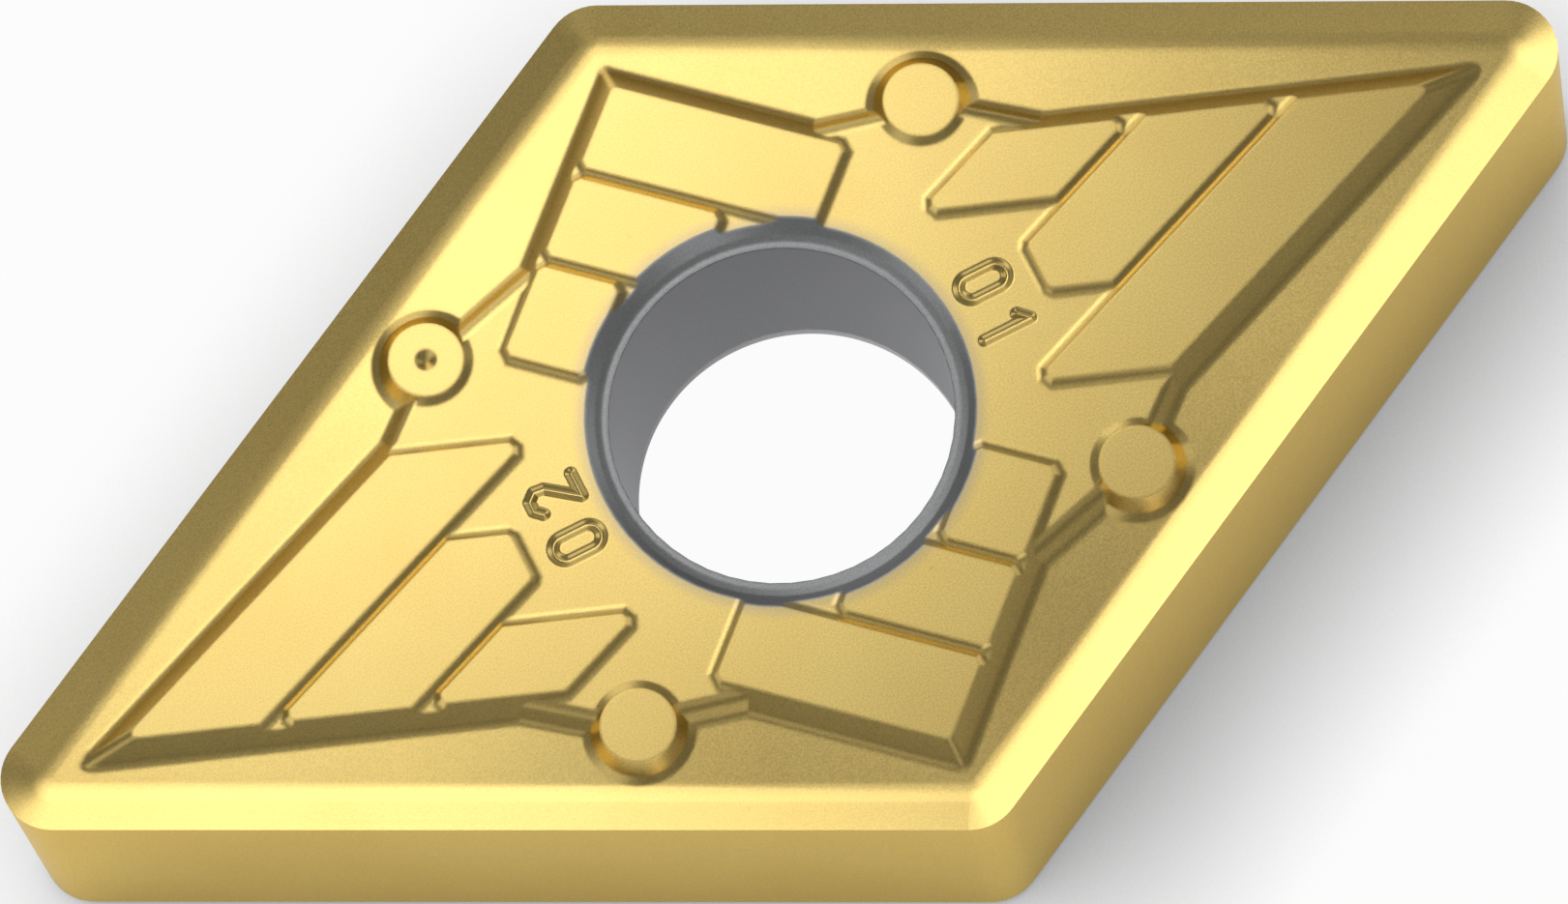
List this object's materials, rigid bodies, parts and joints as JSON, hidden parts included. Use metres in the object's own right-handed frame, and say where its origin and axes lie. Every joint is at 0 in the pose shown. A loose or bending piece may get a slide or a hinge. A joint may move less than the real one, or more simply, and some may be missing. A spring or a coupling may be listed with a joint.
{
  "type": "carbide insert",
  "caption": "Double-sided rhombic carbide turning insert with rounded noses, chip-breaker lands, raised seating pads, round posts and a clamping hole.",
  "frame": {"origin": "middle of the body, on the axis of the clamping hole, halfway between the two seating planes", "axes": "+X along the long diagonal to a cutting nose, +Y along the short diagonal to an obtuse corner, +Z along the hole, out of the upper chip face"},
  "size_m": [0.0256, 0.0142, 0.005],
  "materials": {
    "coated_carbide": "satin gold titanium nitride coating on cemented carbide, bare grey carbide in the hole"
  },
  "bodies": {
    "root": {"insert": "coated_carbide"}
  },
  "joints": []
}
